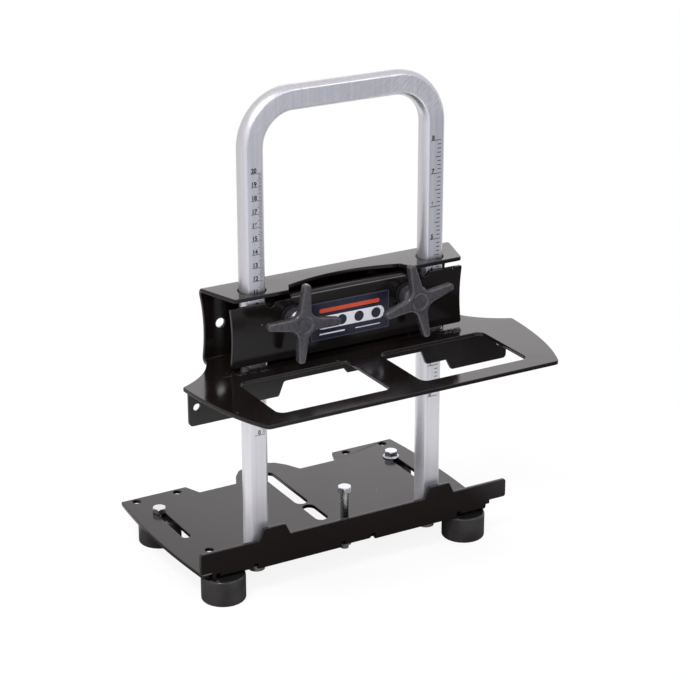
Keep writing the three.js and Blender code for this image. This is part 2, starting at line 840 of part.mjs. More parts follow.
function place(group, name, material, body, x = 0, y = 0, z = 0) {
  const { vertProperties, triVerts } = body.getMesh();
  const geometry = new THREE.BufferGeometry();
  geometry.setAttribute("position", new THREE.BufferAttribute(new Float32Array(vertProperties), 3));
  geometry.setIndex(new THREE.BufferAttribute(new Uint32Array(triVerts), 1));
  geometry.computeVertexNormals();
  const mesh = new THREE.Mesh(geometry, material);
  mesh.name = name;
  mesh.position.set(x, y, z);
  group.add(mesh);
}

place(stand, "base_plate", blackPaint, basePlate());
place(stand, "guide_tube", aluminium, guideTube());
place(stand, "stop_bolt", zinc, bolt(stopBoltRadius, stopBoltTop - hexHeadHeight, stopBoltEnd), stopBoltX);
place(stand, "stop_nut_upper", zinc, nut(stopBoltRadius, baseTop + seat), stopBoltX);
place(stand, "stop_nut_lower", zinc, nut(stopBoltRadius, baseBottom - seat - nutHeight), stopBoltX);
place(carriage, "carriage_channel", blackPaint, carriageChannel());
place(carriage, "guide_skirt", blackPaint, guideSkirt(), skirtMiddleX);
place(clamp, "clamp_plate", blackPaint, clampPlate());
place(clamp, "label_plate", labelFilm, labelPlate());

[["left", -1], ["right", 1]].forEach(([hand, side]) => {
  place(stand, `tube_plug_${hand}`, steel, tubePlug(), side * legX);
  place(stand, `tube_screw_${hand}`, steel, tubeScrew(), side * legX);
  place(stand, `tube_washer_${hand}`, steel, tubeWasher(), side * legX);
  const stud = [side * studX, 0, deckTop + studHeight];
  place(carriage, `clamp_stud_${hand}`, steel, clampStud(), ...stud);
  place(clamp, `clamp_washer_${hand}`, blackPaint, clampWasher(), ...stud);
  place(clamp, `knob_${hand}`, knobPlastic, knob(knobTurns[hand]), ...stud);
  place(clamp, `knob_insert_${hand}`, brass, knobInsert(), ...stud);
  [["front", frontFootY], ["back", backFootY]].forEach(([row, y]) => {
    const flangeRise = row === "back" && hand === "right" ? boltFlangeHeight : 0;
    const footBolt = bolt(footBoltRadius, baseTop + seat, footBoltEnd, flangeRise);
    place(stand, `foot_${row}_${hand}`, rubber, foot(), side * footX, y);
    place(stand, `foot_washer_${row}_${hand}`, zinc, footWasher(), side * footX, y);
    place(stand, `foot_nut_${row}_${hand}`, zinc, footNut(), side * footX, y);
    place(stand, `foot_bolt_${row}_${hand}`, zinc, footBolt, side * footX, y);
  });
});

export default model;
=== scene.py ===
# %% [markdown]
# # A chainsaw mill
# The mill is a black steel base on four feet, with an arched aluminium tube that stands on it. A folded
# steel carriage slides on the tube's two legs, and a plate with two star knobs clamps it at a height.
# Every solid comes from a CAD frame that has the right sizes already, so this lesson is about what a CAD
# model lacks: rounded edges, finishes, printed scales and light.

# %% Load the frame
import json
import math
import random

import bmesh
import bpy
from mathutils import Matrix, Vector


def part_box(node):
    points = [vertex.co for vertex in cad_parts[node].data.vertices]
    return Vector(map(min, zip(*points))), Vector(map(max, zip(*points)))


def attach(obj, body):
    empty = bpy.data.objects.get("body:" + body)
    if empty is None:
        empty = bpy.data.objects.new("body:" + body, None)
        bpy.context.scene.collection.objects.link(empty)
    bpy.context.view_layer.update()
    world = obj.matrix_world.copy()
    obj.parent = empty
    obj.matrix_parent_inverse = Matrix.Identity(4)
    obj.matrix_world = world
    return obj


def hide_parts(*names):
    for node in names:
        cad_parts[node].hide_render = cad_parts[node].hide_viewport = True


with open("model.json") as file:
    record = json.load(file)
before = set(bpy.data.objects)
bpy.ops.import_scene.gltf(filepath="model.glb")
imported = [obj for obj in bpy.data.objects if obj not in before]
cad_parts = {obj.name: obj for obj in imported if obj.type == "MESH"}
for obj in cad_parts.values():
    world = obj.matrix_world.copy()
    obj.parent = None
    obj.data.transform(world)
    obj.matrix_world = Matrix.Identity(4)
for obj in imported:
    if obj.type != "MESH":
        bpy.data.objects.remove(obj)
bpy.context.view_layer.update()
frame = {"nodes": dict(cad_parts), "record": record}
nodes = frame["nodes"]
scene = bpy.context.scene

# %% [markdown]
# ## Sizes
# The frame is in metres and the tube's legs are not at its origin, because the origin lies below the
# middle of the whole mill. It is easier to think in millimetres from the point midway between the legs,
# so a small helper turns such a place into a place in the scene.

# %% Places in millimetres
MM = 0.001
TUBE_RADIUS = 9.5 * MM
TUBE_FLAT = 7.2 * MM
LEG_X = 75.3 * MM
tube_low, tube_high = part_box("guide_tube")
MIDDLE_X = (tube_low.x + tube_high.x) / 2
LEG_Y = tube_low.y + TUBE_FLAT


def at(x, y, z):
    """A place given in millimetres from the floor midway between the legs."""
    return Vector((MIDDLE_X + x * MM, LEG_Y + y * MM, z * MM))


print(f"legs at x {MIDDLE_X - LEG_X:.4f} and {MIDDLE_X + LEG_X:.4f}, y {LEG_Y:.4f}")

# %% [markdown]
# ## Camera
# A product shot is taken with a long lens from some distance, so that parallel edges stay nearly
# parallel. The lens and the place were found by fitting the marks of the tube's scales, which are real
# centimetres and inches. The three angles are the tilt from straight down, the roll and the turn.

# %% Camera
CAMERA_PLACE = (-733.9, -1279.8, 754.9)
CAMERA_ANGLES = (68.85, 0.09, -29.79)
camera_data = bpy.data.cameras.new("camera")
camera_data.lens = 112.5
camera_data.sensor_width = 36
camera_data.clip_end = 100
camera = bpy.data.objects.new("camera", camera_data)
camera.location = at(*CAMERA_PLACE)
camera.rotation_euler = [math.radians(angle) for angle in CAMERA_ANGLES]
scene.collection.objects.link(camera)
scene.camera = camera
print(f"camera at {tuple(round(value, 3) for value in camera.location)}")

# %% [markdown]
# ## Pieces that move
# The carriage slides, the clamp opens and the back feet shift, so every mesh made here has to know which
# moving body it belongs to and which CAD solids it stands for. This could be written out piece by piece,
# but one helper keeps it the same for all of them.

# %% A new piece
bodies = frame["record"]["behaviour"]["bodies"]
subparts = frame["record"]["subparts"]


def body_of(node):
    """The name of the body that a CAD node belongs to."""
    return next(body for body, members in bodies.items() if node in members)


def slot_of(node):
    """The material slot that the record gives a CAD node."""
    return next(part["material_slot"] for part in subparts if part["node"] == node)


def new_piece(name, mesh, body, slot, *stands_for):
    """An object for a mesh that moves with a body and may stand for CAD nodes."""
    piece = bpy.data.objects.new(name, mesh)
    scene.collection.objects.link(piece)
    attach(piece, body)
    if stands_for:
        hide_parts(*stands_for)
    return piece


print(f"{len(bodies)} bodies: {', '.join(sorted(bodies))}")

# %% [markdown]
# ## Rounded edges
# No real edge is perfectly sharp. Paint rounds it, and the round catches the light as the thin bright
# line that makes a sheet look like a sheet. A shader can fake this with a bevel node, but only a bevel
# modifier makes real faces. Weighted normals then let each large flat face keep its own direction, so
# the narrow rounds take all the bending of the light.

# %% Round the edges of a piece
def apply_modifiers(piece):
    """Replaces a piece's mesh by the result of its modifiers, and keeps the normals they worked out."""
    depsgraph = bpy.context.evaluated_depsgraph_get()
    shaped = piece.evaluated_get(depsgraph)
    mesh = bpy.data.meshes.new_from_object(shaped, preserve_all_data_layers=True, depsgraph=depsgraph)
    piece.modifiers.clear()
    piece.data = mesh
    return piece


def round_edges(piece, width, segments=2, angle=28):
    """Bevels all edges that bend by more than an angle in degrees, and smooths the shading."""
    for polygon in piece.data.polygons:
        polygon.use_smooth = True
    bevel = piece.modifiers.new("edge", "BEVEL")
    bevel.width = width
    bevel.segments = segments
    bevel.angle_limit = math.radians(angle)
    bevel.use_clamp_overlap = False
    weights = piece.modifiers.new("weights", "WEIGHTED_NORMAL")
    weights.mode = "FACE_AREA"
    weights.weight = 50
    return apply_modifiers(piece)


print("edge helpers ready")

# %% [markdown]
# ## A fine copy of a solid
# The frame's solids stay as they are, so each one gets a fine copy that stands for it. The copy's flat
# faces are first joined from many triangles into single faces, because a bevel runs badly over leftover
# triangle edges.

# %% Copy a solid
SAME_PLACE = 0.002 * MM
SAME_PLANE = math.radians(1)


def fine_copy(node, width, material, segments=2):
    """A copy of a CAD node with rounded edges and a finish, in the node's place."""
    mesh = nodes[node].data.copy()
    mesh.materials.clear()
    shape = bmesh.new()
    shape.from_mesh(mesh)
    bmesh.ops.remove_doubles(shape, verts=shape.verts, dist=SAME_PLACE)
    bmesh.ops.dissolve_limit(shape, angle_limit=SAME_PLANE, verts=shape.verts, edges=shape.edges)
    shape.to_mesh(mesh)
    shape.free()
    piece = new_piece(f"{node}_fine", mesh, body_of(node), slot_of(node), node)
    round_edges(piece, width, segments)
    piece.data.materials.append(material)
    return piece


print("copy helper ready")

# %% [markdown]
# ## Helpers for finishes
# Each finish starts as one Principled shader. What is the same all over is set on the shader itself,
# and what varies, such as fine grain or smudges, comes from noise in the object's own coordinates, so it
# stays at the right scale and needs no unwrapping.

# %% A finish and its noise
def finish(name, colour, roughness, metallic=0.0, ior=1.5):
    """A material with a Principled shader, and the three things that later cells work on."""
    material = bpy.data.materials.new(name)
    material.use_nodes = True
    tree = material.node_tree
    shader = tree.nodes["Principled BSDF"]
    shader.inputs["Base Color"].default_value = (*colour, 1)
    shader.inputs["Roughness"].default_value = roughness
    shader.inputs["Metallic"].default_value = metallic
    shader.inputs["IOR"].default_value = ior
    place = tree.nodes.new("ShaderNodeTexCoord").outputs["Object"]
    return material, tree, shader, place


def noise(tree, place, waves, detail=2.0):
    """A noise with this many waves in a metre."""
    texture = tree.nodes.new("ShaderNodeTexNoise")
    texture.inputs["Scale"].default_value = waves
    texture.inputs["Detail"].default_value = detail
    tree.links.new(place, texture.inputs["Vector"])
    return texture.outputs["Fac"]


def streaky_noise(tree, place, waves, detail):
    """A noise with its own number of waves in a metre along each axis."""
    mapping = tree.nodes.new("ShaderNodeMapping")
    mapping.inputs["Scale"].default_value = waves
    tree.links.new(place, mapping.inputs["Vector"])
    return noise(tree, mapping.outputs["Vector"], waves=1, detail=detail)


def bumpy(tree, shader, height, strength, distance):
    """Raises the surface by a height value, for a grain too fine to model."""
    node = tree.nodes.new("ShaderNodeBump")
    node.inputs["Strength"].default_value = strength
    node.inputs["Distance"].default_value = distance
    tree.links.new(height, node.inputs["Height"])
    tree.links.new(node.outputs["Normal"], shader.inputs["Normal"])


print("finish helpers ready")

# %% [markdown]
# ## Helpers for values
# A noise alone is a grey cloud, and most of its values lie between 0.3 and 0.7. To steer a roughness or
# a colour with it, that range, or the upper part of it, is stretched to another one. The second helper
# splits a place or a direction into its parts, so that a finish can change with height or with the way
# a surface faces. A colour ramp could stretch a range too, but it takes more clicks and more code.

# %% Ranges and axes
MOST_NOISE = (0.3, 0.7)
UPPER_NOISE = (0.35, 0.7)


def spread(tree, value, source, target):
    """Maps a range of a value to another range, and cuts what lies outside."""
    node = tree.nodes.new("ShaderNodeMapRange")
    node.inputs["From Min"].default_value = source[0]
    node.inputs["From Max"].default_value = source[1]
    node.inputs["To Min"].default_value = target[0]
    node.inputs["To Max"].default_value = target[1]
    tree.links.new(value, node.inputs["Value"])
    return node.outputs["Result"]


def axes_of(tree, vector):
    """The X, Y and Z parts of a vector."""
    node = tree.nodes.new("ShaderNodeSeparateXYZ")
    tree.links.new(vector, node.inputs["Vector"])
    return node.outputs


print(f"most noise lies between {MOST_NOISE[0]} and {MOST_NOISE[1]}")

# %% [markdown]
# Values are multiplied where two conditions have to hold at once, and added where two effects pile up.
# In the end a value becomes a colour. Each helper makes a single node and returns its output, so that
# the later cells read like sentences.

# %% Sums and colours
def combined(tree, operation, first, second):
    """Two values brought together by an operation."""
    node = tree.nodes.new("ShaderNodeMath")
    node.operation = operation
    tree.links.new(first, node.inputs[0])
    tree.links.new(second, node.inputs[1])
    return node.outputs["Value"]


def product(tree, first, second):
    """Two values multiplied."""
    return combined(tree, "MULTIPLY", first, second)


def total(tree, first, second):
    """Two values added."""
    return combined(tree, "ADD", first, second)


def blend_colours(tree, share, first, second):
    """A colour between two, by a share."""
    node = tree.nodes.new("ShaderNodeMix")
    node.data_type = "RGBA"
    node.inputs["A"].default_value = (*first, 1)
    node.inputs["B"].default_value = (*second, 1)
    tree.links.new(share, node.inputs["Factor"])
    return node.outputs["Result"]


print("value helpers ready")

# %% [markdown]
# ## Black coat
# The sheet metal wears a smooth, nearly black powder coat. Straight on it is darker than charcoal, but
# at a low angle it mirrors the pale room and looks grey, so the colour has to be very dark and the gloss
# does the rest. A clear layer over a matt one would mirror the room too, but one smooth layer is simpler
# and looks the same. Powder flows into a faint orange peel, hands leave dull patches, and a few grains of
# dust lie on it. A Voronoi texture scatters the grains: one per cell, and a random value keeps some.

# %% Black coat
COAT_BLACK = (0.007, 0.005, 0.0044)
DUST_GREY = (0.25, 0.24, 0.24)
COAT_ROUGHNESS = (0.1, 0.2)
PATCH_EDGES = (0.38, 0.7)
GRAIN_EDGES = (0.03, 0.06)
GRAIN_CHANCE = (0.8, 0.81)
black_coat, tree, shader, place = finish("black_coat", COAT_BLACK, roughness=0.12, ior=1.4)
grains = tree.nodes.new("ShaderNodeTexVoronoi")
grains.inputs["Scale"].default_value = 110
tree.links.new(place, grains.inputs["Vector"])
chance = tree.nodes.new("ShaderNodeSeparateColor")
tree.links.new(grains.outputs["Color"], chance.inputs["Color"])
grain_spot = spread(tree, grains.outputs["Distance"], GRAIN_EDGES, (1, 0))
kept = spread(tree, chance.outputs["Red"], GRAIN_CHANCE, (0, 1))
coat_colour = blend_colours(tree, product(tree, grain_spot, kept), COAT_BLACK, DUST_GREY)
tree.links.new(coat_colour, shader.inputs["Base Color"])
patches = noise(tree, place, waves=26, detail=3)
tree.links.new(spread(tree, patches, PATCH_EDGES, COAT_ROUGHNESS), shader.inputs["Roughness"])
orange_peel = noise(tree, place, waves=420)
bumpy(tree, shader, orange_peel, strength=0.04, distance=0.05 * MM)
print("black coat ready")

# %% [markdown]
# ## Drawn aluminium
# The tube is drawn through a die, so its surface has fine lines along its length, and it scatters the
# light in a soft way. An anisotropic shader could do that for one direction, but the lines themselves
# show in a close view. So noise is squeezed across the tube and stretched along it.

# %% Drawn lines
ALUMINIUM = (0.74, 0.74, 0.76)
drawn_aluminium, tree, shader, place = finish(
    "drawn_aluminium", ALUMINIUM, roughness=0.38, metallic=1.0)
lines = streaky_noise(tree, place, waves=(2600, 2600, 26), detail=3)
bands = streaky_noise(tree, place, waves=(420, 420, 5), detail=2)
bumpy(tree, shader, lines, strength=0.06, distance=0.05 * MM)
print("drawn lines ready")

# %% [markdown]
# Round the arch a sanding pad has left slanting strokes on the flat. They are the same noise again, with
# its coordinates turned. The strokes show only on high places that face the front, which the normal and
# the height tell, and they are strongest on the right. Each pair of numbers below is a soft edge between
# where such a condition holds and where it does not. Places are in metres.

# %% Sanded strokes
STROKE_SLANT = math.radians(42)
STROKE_EDGES = (0.42, 0.66)
FACING_FRONT = (-0.97, -0.9)
ARCH_HEIGHTS = (0.343, 0.356)
RIGHT_BEND = (0.02, 0.05)
turned = tree.nodes.new("ShaderNodeMapping")
turned.inputs["Rotation"].default_value = (0, STROKE_SLANT, 0)
tree.links.new(place, turned.inputs["Vector"])
strokes = streaky_noise(tree, turned.outputs["Vector"], waves=(110, 110, 1500), detail=3)
normal = tree.nodes.new("ShaderNodeNewGeometry").outputs["Normal"]
on_front = spread(tree, axes_of(tree, normal)["Y"], FACING_FRONT, (1, 0))
tube_place = axes_of(tree, place)
on_arch = spread(tree, tube_place["Z"], ARCH_HEIGHTS, (0, 1))
on_right = spread(tree, tube_place["X"], RIGHT_BEND, (0.3, 1))
where_sanded = product(tree, product(tree, on_front, on_arch), on_right)
scratches = product(tree, spread(tree, strokes, STROKE_EDGES, (0, 1)), where_sanded)
print("sanded strokes ready")

# %% [markdown]
# Scratches and broad bands make the metal paler. The fine lines make it rougher, and so does handling,
# which has dulled the lowest few centimetres of each leg. A duller foot also matters for the picture: it
# mixes what it mirrors, so the black flange in front does not turn the whole foot black.

# %% Colour and shine of the tube
BARE_METAL = (0.7, 0.7, 0.725)
BRIGHT_METAL = (0.96, 0.96, 0.97)
LINE_ROUGHNESS = (0.32, 0.44)
HANDLED_HEIGHTS = (0.045, 0.075)
marks = total(tree, scratches, spread(tree, bands, UPPER_NOISE, (0, 0.3)))
metal_colour = blend_colours(tree, marks, BARE_METAL, BRIGHT_METAL)
tree.links.new(metal_colour, shader.inputs["Base Color"])
handled = spread(tree, tube_place["Z"], HANDLED_HEIGHTS, (0.3, 0))
dullness = total(tree, spread(tree, lines, MOST_NOISE, LINE_ROUGHNESS), handled)
tree.links.new(dullness, shader.inputs["Roughness"])
print("aluminium ready")

# %% [markdown]
# ## Zinc, steel and brass
# Bolts are zinc plated: bright, slightly blue, and never as even as chrome. The parts below the base
# and inside the tube are plain steel, and the threads inside the knobs are brass. A bare metal with one
# roughness looks like foil, so the roughness of each drifts between two values in soft clouds.

# %% Clouded metals
def clouded_finish(name, colour, roughness, waves, shine, metallic=0.0):
    """A finish whose roughness drifts between two values."""
    material, tree, shader, place = finish(name, colour, roughness, metallic)
    cloud = noise(tree, place, waves, detail=3)
    tree.links.new(spread(tree, cloud, MOST_NOISE, shine), shader.inputs["Roughness"])
    return material


ZINC_BLUE = (0.66, 0.69, 0.71)
STEEL_GREY = (0.46, 0.46, 0.47)
BRASS_YELLOW = (0.72, 0.5, 0.22)
metals = {
    "zinc": clouded_finish(
        "zinc_plate", ZINC_BLUE, roughness=0.2, waves=700, shine=(0.16, 0.3), metallic=1.0),
    "steel": clouded_finish(
        "plain_steel", STEEL_GREY, roughness=0.35, waves=500, shine=(0.28, 0.45), metallic=1.0),
    "brass": clouded_finish(
        "brass", BRASS_YELLOW, roughness=0.3, waves=500, shine=(0.22, 0.38), metallic=1.0),
}
print(f"metals ready: {', '.join(metals)}")

# %% [markdown]
# ## Moulded plastic
# The knobs are moulded in a fibre-filled plastic, dark grey with a slight grain from the mould. Where
# streams of it met in the mould they left faint curved streaks. Noise alone would look cloudy, so a wave
# texture with strong distortion draws the streaks, and a fine noise breaks them up.

# %% Moulded plastic
PLASTIC_GREY = (0.04, 0.037, 0.04)
STREAK_DARK = (0.02, 0.018, 0.02)
STREAK_PALE = (0.062, 0.058, 0.063)
PLASTIC_ROUGHNESS = (0.16, 0.28)
moulded_plastic, tree, shader, place = finish(
    "moulded_plastic", PLASTIC_GREY, roughness=0.24, ior=1.6)
grain = noise(tree, place, waves=1100, detail=4)
swirl = noise(tree, place, waves=55, detail=2)
streaks = tree.nodes.new("ShaderNodeTexWave")
streaks.inputs["Scale"].default_value = 60
streaks.inputs["Distortion"].default_value = 16
streaks.inputs["Detail"].default_value = 3
streaks.inputs["Detail Scale"].default_value = 2
tree.links.new(place, streaks.inputs["Vector"])
flow_lines = spread(tree, streaks.outputs["Fac"], (0.1, 0.9), (0.6, 1))
fibre = product(tree, flow_lines, spread(tree, grain, MOST_NOISE, (0.5, 1)))
plastic_colour = blend_colours(tree, fibre, STREAK_DARK, STREAK_PALE)
tree.links.new(plastic_colour, shader.inputs["Base Color"])
tree.links.new(spread(tree, swirl, UPPER_NOISE, PLASTIC_ROUGHNESS), shader.inputs["Roughness"])
bumpy(tree, shader, grain, strength=0.15, distance=0.04 * MM)
print("plastic ready")

# %% [markdown]
# ## Rubber
# The feet are black rubber with a greyish bloom. Their tops came smooth and shiny out of the mould, and
# their colour turns near black there: that is painted shade, for the dark plate that hangs over them and
# that they would mirror. That could be a second material on some of the faces, but the two meet softly on
# the rim, so the colour and the roughness of one material change over the last millimetres of a foot's
# height.

# %% Rubber
FOOT_HEIGHT = 21 * MM
TOP_STARTS = (FOOT_HEIGHT - 0.8 * MM, FOOT_HEIGHT - 0.2 * MM)
RIM_STARTS = (FOOT_HEIGHT - 1.6 * MM, FOOT_HEIGHT - 0.8 * MM)
RUBBER_BLACK = (0.04, 0.038, 0.037)
PAINTED_SHADE_BLACK = (0.005, 0.005, 0.006)
BLOOM_GREY = (0.055, 0.052, 0.05)
BLOOM_SHARES = (0.42, 1)
SIDE_TO_TOP_ROUGHNESS = (0.36, 0.16)
foot_rubber, tree, shader, place = finish("foot_rubber", RUBBER_BLACK, roughness=0.36)
height = axes_of(tree, place)["Z"]
bloom = spread(tree, noise(tree, place, waves=60, detail=4), UPPER_NOISE, BLOOM_SHARES)
# Towards the top the bloom fades into near black, as painted shade under the plate above the foot.
greyness = product(tree, bloom, spread(tree, height, TOP_STARTS, (1, 0)))
rubber_colour = blend_colours(tree, greyness, PAINTED_SHADE_BLACK, BLOOM_GREY)
tree.links.new(rubber_colour, shader.inputs["Base Color"])
rubber_roughness = spread(tree, height, RIM_STARTS, SIDE_TO_TOP_ROUGHNESS)
tree.links.new(rubber_roughness, shader.inputs["Roughness"])
pores = noise(tree, place, waves=1400, detail=3)
bumpy(tree, shader, pores, strength=0.12, distance=0.06 * MM)
print("rubber ready")

# %% [markdown]
# ## Sheet metal
# The base with its folded flange, the carriage, the skirt below the deck and the clamp plate are all
# three millimetres thick. Laser cutting leaves a crisp edge and the coat rounds it by about half a
# millimetre. The CAD solids have every cut and fold already, so modelling them again would gain nothing:
# a fine copy with three bevel segments is enough for a round that shows in a close view.

# %% Sheet metal
for node in ["base_plate", "carriage_channel", "guide_skirt", "clamp_plate"]:
    piece = fine_copy(node, width=0.5 * MM, material=black_coat, segments=3)
    print(f"{piece.name}: {len(piece.data.polygons)} faces")

# %% [markdown]
# ## The arched tube
# The CAD tube has few sides, which would show as facets in a polished surface. A tube is a section
# swept along a line, so it is easy to make again with many sides: a circle with one flat, carried up the
# left leg, round two bends and down the right leg. The flat faces the front all the way.

# %% The tube's section and line
ARCH_RADIUS = 33.5 * MM
SECTION_SIDES = 56
BEND_STEPS = 20


def tube_section():
    """Points of the section as (outward, forward): a circle with one flat."""
    edge = math.acos(TUBE_FLAT / TUBE_RADIUS)
    points = []
    for step in range(SECTION_SIDES + 1):
        angle = edge + (2 * math.pi - 2 * edge) * step / SECTION_SIDES
        points.append((TUBE_RADIUS * math.sin(angle), TUBE_RADIUS * math.cos(angle)))
    return points


def arch_stations():
    """Places along the centre line, each with the direction that points out of the arch."""
    bend_x = LEG_X - ARCH_RADIUS
    bend_z = tube_high.z - TUBE_RADIUS - ARCH_RADIUS
    stations = [(-LEG_X, tube_low.z, -1.0, 0.0)]
    for side in (-1, 1):
        for step in range(BEND_STEPS + 1):
            turn = math.pi / 2 * step / BEND_STEPS
            angle = turn - math.pi / 2 if side < 0 else turn
            out_x = math.sin(angle)
            out_z = math.cos(angle)
            x = side * bend_x + ARCH_RADIUS * out_x
            z = bend_z + ARCH_RADIUS * out_z
            stations.append((x, z, out_x, out_z))
    stations.append((LEG_X, tube_low.z, 1.0, 0.0))
    return stations


section = tube_section()
stations = arch_stations()
print(f"{len(section)} section points at {len(stations)} stations")

# %% [markdown]
# A curve object with a bevel shape could sweep the section too, but it may twist on its way round the
# bends. Here each station gets a ring of vertices, faces join each ring to the next, and two more faces
# close the ends.

# %% Sweep the tube
tube_shape = bmesh.new()
rings = []
for x, z, out_x, out_z in stations:
    ring = []
    for outward, forward in section:
        spot = (MIDDLE_X + x + outward * out_x, LEG_Y - forward, z + outward * out_z)
        ring.append(tube_shape.verts.new(spot))
    rings.append(ring)
for first, second in zip(rings, rings[1:]):
    for index in range(len(first)):
        after = (index + 1) % len(first)
        tube_shape.faces.new((first[index], first[after], second[after], second[index]))
tube_shape.faces.new(reversed(rings[0]))
tube_shape.faces.new(rings[-1])
bmesh.ops.recalc_face_normals(tube_shape, faces=tube_shape.faces)
tube_mesh = bpy.data.meshes.new("guide_tube_fine")
tube_shape.to_mesh(tube_mesh)
tube_shape.free()
tube = new_piece("guide_tube_fine", tube_mesh, "stand", "aluminium", "guide_tube")
round_edges(tube, width=0.7 * MM, segments=3, angle=24)
tube.data.materials.append(drawn_aluminium)
print(f"tube: {len(tube.data.polygons)} faces")

# %% [markdown]
# ## Printed scales
# The left leg carries centimetres and the right leg inches. A printed mark has no thickness to speak
# of. An image could show it, but it would blur in a close view, so each mark is a flat shape that lies a
# hair in front of the tube's flat. All the marks of a leg are joined into one piece.

# %% Ink
INK_BLACK = (0.015, 0.015, 0.02)
FRESH_INK = (0.006, 0.006, 0.01)
WORN_INK = (0.05, 0.05, 0.06)
WEAR_EDGES = (0.55, 0.85)
scale_ink, tree, shader, place = finish("scale_ink", INK_BLACK, roughness=0.5)
wear = spread(tree, noise(tree, place, waves=1500), WEAR_EDGES, (0, 1))
ink_colour = blend_colours(tree, wear, FRESH_INK, WORN_INK)
tree.links.new(ink_colour, shader.inputs["Base Color"])
print("ink ready")

# %% [markdown]
# A tick is a plain rectangle. A number starts as a text object, because Blender's own font has good
# digits, and its outlines become flat faces. They are a bit narrower than the font's and a bit bolder,
# because printed ink spreads. In that font a digit is seven tenths of the size that the text is given.

# %% Ticks and numbers
SCALE_ZERO = 126
INK_LIFT = 0.04
INK_FRONT = -TUBE_FLAT / MM - INK_LIFT
INK_SPREAD = 0.2
DIGIT_HEIGHT = 3.3
DIGIT_SHARE = 0.7
DIGIT_NARROWING = 0.9


def ink_tick(shape, left, right, middle, thickness):
    """A flat bar on a leg's flat, with its corners in millimetres."""
    low = middle - thickness / 2
    high = middle + thickness / 2
    corners = [(left, low), (right, low), (right, high), (left, high)]
    shape.faces.new([shape.verts.new(at(x, INK_FRONT, z)) for x, z in corners])


def ink_number(shape, number, right, bottom):
    """A number on a leg's flat, set flush right above a line."""
    curve = bpy.data.curves.new("digits", "FONT")
    curve.body = str(number)
    curve.align_x = "RIGHT"
    curve.size = DIGIT_HEIGHT / DIGIT_SHARE
    curve.offset = INK_SPREAD
    holder = bpy.data.objects.new("digits", curve)
    scene.collection.objects.link(holder)
    bpy.context.view_layer.update()
    mesh = bpy.data.meshes.new_from_object(holder)
    for vertex in mesh.vertices:
        vertex.co = at(right + vertex.co.x * DIGIT_NARROWING, INK_FRONT, bottom + vertex.co.y)
    shape.from_mesh(mesh)
    bpy.data.objects.remove(holder)
    bpy.data.curves.remove(curve)
    bpy.data.meshes.remove(mesh)


print(f"scales start {SCALE_ZERO} mm above the floor")

# %% [markdown]
# Both scales follow one plan: long ticks with numbers, half ticks and short ticks. A list of kinds says
# it for each scale. Every kind has the number that its ticks divide by, the places of its left and right
# end from the middle of the leg, and its thickness. The first kind that fits a tick is the one drawn.

# %% Scales
INCH = 25.4
CENTIMETRE_TICKS = [(10, -3.0, 5.4, 0.4), (5, 1.9, 5.4, 0.34), (1, 3.1, 5.4, 0.3)]
INCH_TICKS = [(8, -4.6, 4.2, 0.5), (4, -0.4, 4.0, 0.6), (1, 1.2, 4.1, 0.6)]


def ink_scale(name, leg, kinds, step, longest, number_right, number_lift):
    """The marks of one leg up to the longest number, as a piece that stays with the tube."""
    shape = bmesh.new()
    per_number = kinds[0][0]
    for tick in range(longest * per_number + 1):
        left, right, thickness = next(kind[1:] for kind in kinds if tick % kind[0] == 0)
        ink_tick(shape, leg + left, leg + right, SCALE_ZERO + tick * step, thickness)
    for number in range(longest + 1):
        line = SCALE_ZERO + number * per_number * step
        ink_number(shape, number, leg + number_right, line + number_lift)
    mesh = bpy.data.meshes.new(name)
    shape.to_mesh(mesh)
    shape.free()
    mesh.materials.append(scale_ink)
    piece = new_piece(name, mesh, "stand", "aluminium")
    print(f"{name}: {len(mesh.polygons)} faces")
    return piece


ink_scale("centimetre_scale", -LEG_X / MM, CENTIMETRE_TICKS, step=1, longest=20,
          number_right=1.6, number_lift=0.6)
ink_scale("inch_scale", LEG_X / MM, INCH_TICKS, step=INCH / 8, longest=8,
          number_right=-1.5, number_lift=0.5)

# %% [markdown]
# ## Bolts, nuts and washers
# Small steel parts are the jewels of a picture like this one: each shows one or two sharp highlights.
# They could be modelled with threads and stamped heads, but at this size only their edges show. The edges
# are turned and stamped, so fine copies round them by a little more than a tenth of a millimetre.

# %% Fasteners
for node in sorted(nodes):
    slot = slot_of(node)
    if slot in metals:
        fine_copy(node, width=0.15 * MM, material=metals[slot])
        print(f"{node}: {slot}")

# %% [markdown]
# ## Knobs
# Two star knobs tighten the clamp, and their four arms suit a gloved hand. A moulded knob has no crisp
# corner anywhere: its arms flow into the hub. Remeshing the CAD solid into small even cells and smoothing
# them gives that flow, which a bevel would not.

# %% Knobs
for side in ["left", "right"]:
    node = f"knob_{side}"
    mesh = nodes[node].data.copy()
    mesh.materials.clear()
    knob = new_piece(f"{node}_fine", mesh, body_of(node), "knob_plastic", node)
    remesh = knob.modifiers.new("cells", "REMESH")
    remesh.mode = "VOXEL"
    remesh.voxel_size = 0.45 * MM
    remesh.use_smooth_shade = True
    flow = knob.modifiers.new("flow", "CORRECTIVE_SMOOTH")
    flow.iterations = 3
    flow.smooth_type = "LENGTH_WEIGHTED"
    flow.use_only_smooth = True
    apply_modifiers(knob)
    knob.data.materials.append(moulded_plastic)
    print(f"{knob.name}: {len(knob.data.polygons)} faces")

# %% [markdown]
# ## Feet
# The feet are plain turned rubber. The CAD solids have their rims already, so fine copies keep the shape
# and only get softer edges.

# %% Feet
for node in sorted(nodes):
    if slot_of(node) == "rubber":
        fine_copy(node, width=0.3 * MM, material=foot_rubber)
        print(f"{node}: rubber")

# %% [markdown]
# ## Welds
# The skirt hangs from slots in the deck and is welded there, so short seams show on top of the deck under
# the clamp plate's ends. A weld is a row of overlapping drops that froze one after the other. So the bead
# is made as a strip whose height is a rounded hump across, a ripple along, and nothing at its ends. A
# displaced tube would look as good, but a strip needs no hidden lower half.

